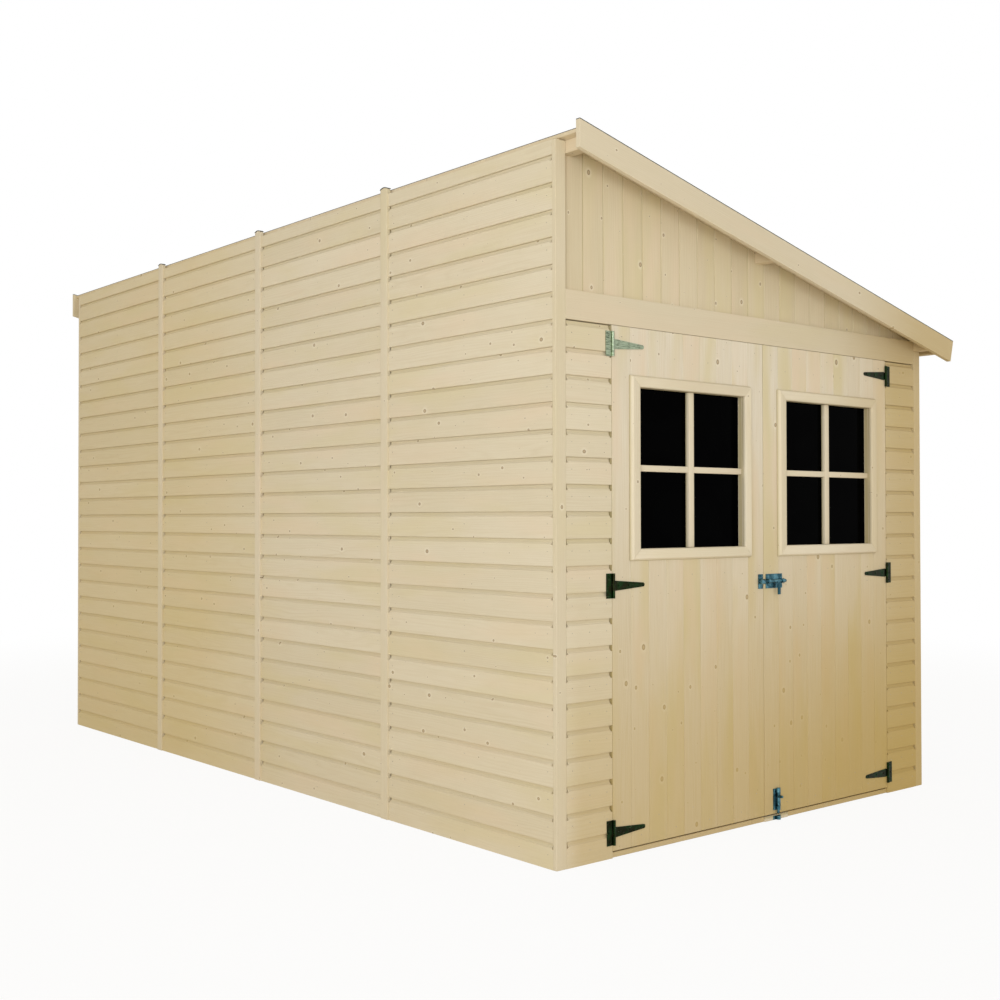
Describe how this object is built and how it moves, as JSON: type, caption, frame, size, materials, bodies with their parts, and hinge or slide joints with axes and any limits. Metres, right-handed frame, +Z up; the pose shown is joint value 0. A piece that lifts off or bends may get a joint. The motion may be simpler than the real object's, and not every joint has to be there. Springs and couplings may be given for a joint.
{
  "type": "garden shed",
  "caption": "Unpainted timber garden shed with a single-pitch felted roof, boarded panel walls and glazed double doors that swing out on tee hinges, with a slide bolt and a foot bolt.",
  "frame": {"origin": "middle of the outline on the ground, taken over the roof and the wall strips", "axes": "+X from the high wall to the low wall, +Y from the front with the doors to the back, +Z up"},
  "size_m": [2.204, 4.156, 2.4191],
  "materials": {
    "cladding_pine": "planed softwood boards laid level, unpainted, with small knots",
    "upright_pine": "planed softwood boards set upright, unpainted, with small knots",
    "planed_pine": "planed softwood trim, unpainted",
    "frame_pine": "sawn softwood framing, unpainted",
    "deck_pine": "planed softwood boards, unpainted",
    "roof_felt": "mineral roofing felt, matt dark grey",
    "hinge_iron": "dark passivated steel with a green tint, satin",
    "zinc_steel": "blue-passivated zinc plate, satin",
    "dark_glass": "dark glazing, smooth"
  },
  "bodies": {
    "shed": {"high_wall_panel_1": "cladding_pine", "low_wall_panel_1": "cladding_pine", "high_wall_panel_2": "cladding_pine", "low_wall_panel_2": "cladding_pine", "high_wall_panel_3": "cladding_pine", "low_wall_panel_3": "cladding_pine", "high_wall_panel_4": "cladding_pine", "low_wall_panel_4": "cladding_pine", "back_wall_panel_1": "cladding_pine", "back_wall_panel_2": "cladding_pine", "front_panel_left": "cladding_pine", "front_panel_right": "cladding_pine", "front_gable": "upright_pine", "back_gable": "upright_pine", "header_boards": "planed_pine", "corner_boards": "planed_pine", "cover_strips": "planed_pine", "bargeboards": "planed_pine", "eaves_board": "planed_pine", "keeper_block": "planed_pine", "wall_posts": "frame_pine", "wall_rails": "frame_pine", "threshold": "frame_pine", "floor_bearers": "frame_pine", "purlins": "frame_pine", "floor_boards": "deck_pine", "roof_boards": "deck_pine", "roof_felt": "roof_felt", "hinge_plates": "hinge_iron", "foot_bolt_catch": "zinc_steel"},
    "left_door": {"left_door_leaf": "upright_pine", "left_door_ledges": "frame_pine", "left_window_trim": "planed_pine", "left_window_glass": "dark_glass", "left_hinge_straps": "hinge_iron", "slide_bolt_catch": "zinc_steel"},
    "right_door": {"right_door_leaf": "upright_pine", "right_door_ledges": "frame_pine", "right_window_trim": "planed_pine", "right_window_glass": "dark_glass", "right_hinge_straps": "hinge_iron", "slide_bolt_case": "zinc_steel", "foot_bolt_case": "zinc_steel"},
    "slide_bolt": {"slide_bolt_rod": "zinc_steel"},
    "foot_bolt": {"foot_bolt_rod": "zinc_steel"}
  },
  "joints": [
    {"name": "left_door_hinge", "type": "hinge", "parent": "shed", "child": "left_door", "pos_m": [-0.839, -1.975, 0.913], "axis": [0, 0, -1], "range_deg": [0, 165]},
    {"name": "right_door_hinge", "type": "hinge", "parent": "shed", "child": "right_door", "pos_m": [0.757, -1.975, 0.913], "axis": [0, 0, 1], "range_deg": [0, 165]},
    {"name": "slide_bolt_slide", "type": "slide", "parent": "right_door", "child": "slide_bolt", "axis": [-1, 0, 0], "range_m": [0, 0.028]},
    {"name": "foot_bolt_slide", "type": "slide", "parent": "right_door", "child": "foot_bolt", "axis": [0, 0, -1], "range_m": [0, 0.022]}
  ]
}
